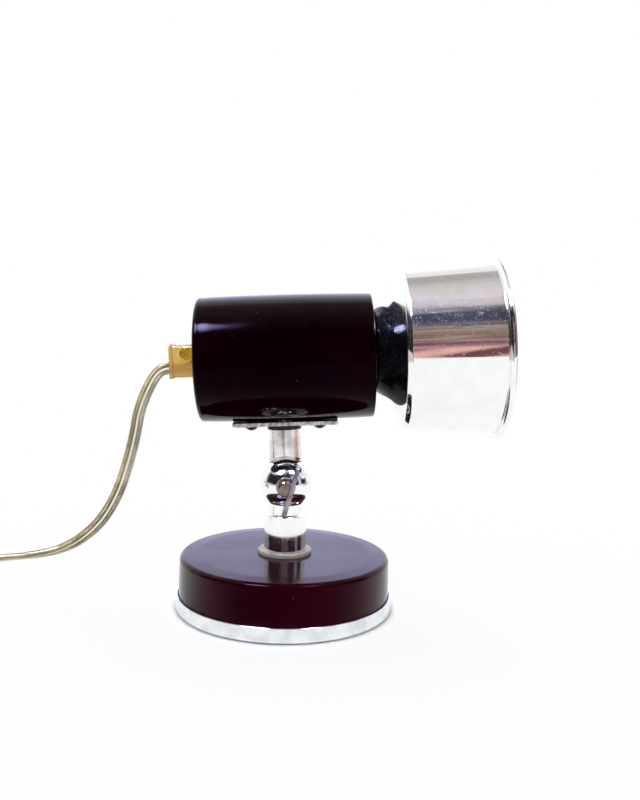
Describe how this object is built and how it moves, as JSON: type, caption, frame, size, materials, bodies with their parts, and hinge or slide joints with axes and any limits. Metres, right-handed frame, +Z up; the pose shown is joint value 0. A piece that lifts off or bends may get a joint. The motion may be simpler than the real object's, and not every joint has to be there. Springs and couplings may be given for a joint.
{
  "type": "searchlight table lamp",
  "caption": "Small searchlight table lamp: drum housing with a flared bell reflector on a ball swivel with a thumb lever, over a round weighted base, with its cord.",
  "frame": {"origin": "centre of the base's underside, on the surface that the lamp stands on", "axes": "+X the way the lamp points, +Z up, the thumb lever on the -Y side"},
  "size_m": [0.4142, 0.1177, 0.1688],
  "materials": {
    "oxblood_lacquer": "gloss lacquer, almost black burgundy",
    "chrome": "polished chrome plate, lightly scratched",
    "black_disc": "satin black",
    "dark_ring": "blackened steel",
    "cast_iron": "as cast",
    "pad_rubber": "matt black",
    "spacer_plastic": "cream washer",
    "zinc_steel": "zinc plated",
    "brass": "plain brass, slightly tarnished",
    "bakelite": "dark brown phenolic",
    "opal_glass": "white coated bulb glass",
    "bulb_metal": "thin pressed metal",
    "amber_plastic": "translucent amber",
    "clear_cord": "clear vinyl over twin copper strands",
    "cord_fittings": "ivory",
    "fibre": "pressed fibre"
  },
  "bodies": {
    "base": {"base_trim_ring": "chrome", "base_shell": "oxblood_lacquer", "base_weight": "cast_iron", "base_pad": "pad_rubber", "base_nipple": "zinc_steel", "base_lock_washer": "zinc_steel", "base_nut": "zinc_steel", "collar_spacer": "spacer_plastic", "stem_collar": "chrome", "stop_screw": "zinc_steel"},
    "swivel": {"swivel_lower": "chrome", "friction_disc": "fibre", "cord_tube": "clear_cord", "cord_coil": "clear_cord", "switch_base": "cord_fittings", "switch_cover": "cord_fittings", "switch_screws": "zinc_steel", "plug_body": "cord_fittings", "plug_blades": "brass"},
    "lever": {"clamp_screw": "chrome", "clamp_key": "chrome", "spring_washer": "zinc_steel"},
    "wheel": {"switch_wheel": "bakelite"},
    "head": {"swivel_upper": "chrome", "stem_ring": "dark_ring", "mounting_plate": "chrome", "plate_screws": "brass", "plate_nuts": "zinc_steel", "stem_nut": "zinc_steel", "housing_drum": "oxblood_lacquer", "housing_front": "black_disc", "holder_strap": "zinc_steel", "holder_nipple": "zinc_steel", "holder_nut": "zinc_steel", "holder_cap": "bakelite", "holder_body": "bakelite", "screw_shell": "brass", "centre_contact": "brass", "shade_ring": "bakelite", "reflector_bell": "chrome", "bulb_base": "bulb_metal", "bulb_glass": "opal_glass", "cord_grip": "amber_plastic", "grip_screw": "brass", "grip_nut": "zinc_steel", "lead_inside": "clear_cord"}
  },
  "joints": [
    {"name": "pan", "type": "hinge", "parent": "base", "child": "swivel", "pos_m": [0, 0, 0.0385], "axis": [0, 0, 1], "range_deg": [-160, 160]},
    {"name": "tilt", "type": "hinge", "parent": "swivel", "child": "head", "pos_m": [0, 0, 0.059], "axis": [0, 1, 0], "range_deg": [-50, 40], "deforming": ["cord_tube"]},
    {"name": "clamp_lever", "type": "hinge", "parent": "swivel", "child": "lever", "pos_m": [0, -0.0112, 0.059], "axis": [0, 1, 0], "range_deg": [-60, 120]},
    {"name": "cord_switch", "type": "hinge", "parent": "swivel", "child": "wheel", "pos_m": [-0.20816, -0.02058, 0.00855], "axis": [0, 0, 1], "continuous": true}
  ]
}
